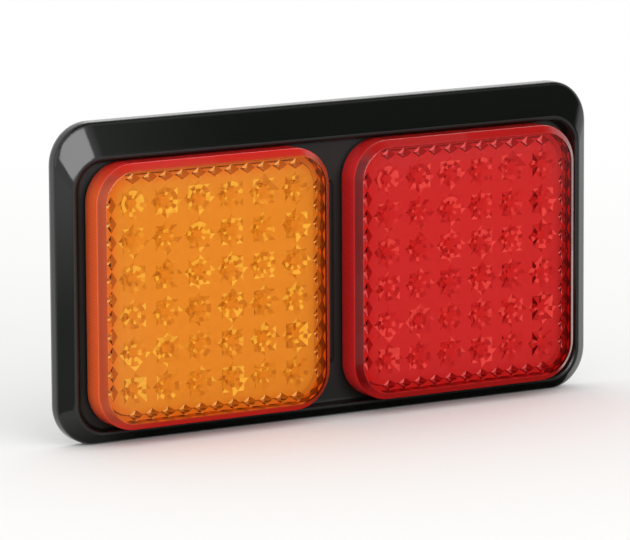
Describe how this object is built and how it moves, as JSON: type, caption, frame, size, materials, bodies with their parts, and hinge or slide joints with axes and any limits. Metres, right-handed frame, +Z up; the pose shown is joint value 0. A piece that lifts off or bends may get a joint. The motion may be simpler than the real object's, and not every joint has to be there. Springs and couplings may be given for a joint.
{
  "type": "tail light cluster",
  "caption": "Twin vehicle tail light: a square amber LED lamp and a square red one, with faceted optics, side by side in a shallow gloss black bracket.",
  "frame": {"origin": "middle of the four threaded inserts, on the mounting plane at the bracket's back edge", "axes": "+X to the right seen from the lit front, +Z up, the lit front looks along -Y"},
  "size_m": [0.1878, 0.0138, 0.0967],
  "materials": {
    "gloss_black_moulding": "gloss moulded",
    "amber_acrylic": "polished, transparent amber",
    "red_acrylic": "polished, transparent red",
    "black_rubber": "soft matt",
    "black_housing": "moulded",
    "zinc_plated_steel": "plated",
    "brass": "turned",
    "white_board": "white solder resist",
    "led_package": "moulded",
    "resistor_body": "glazed",
    "diode_body": "moulded"
  },
  "bodies": {
    "root": {"bracket": "gloss_black_moulding", "threaded_inserts": "brass", "amber_lens": "amber_acrylic", "amber_seal": "black_rubber", "amber_housing": "black_housing", "amber_screws": "zinc_plated_steel", "amber_cable_gland": "black_rubber", "amber_circuit_board": "white_board", "amber_leds": "led_package", "amber_resistors": "resistor_body", "amber_diode": "diode_body", "red_lens": "red_acrylic", "red_seal": "black_rubber", "red_housing": "black_housing", "red_screws": "zinc_plated_steel", "red_cable_gland": "black_rubber", "red_circuit_board": "white_board", "red_leds": "led_package", "red_resistors": "resistor_body", "red_diode": "diode_body"}
  },
  "joints": []
}
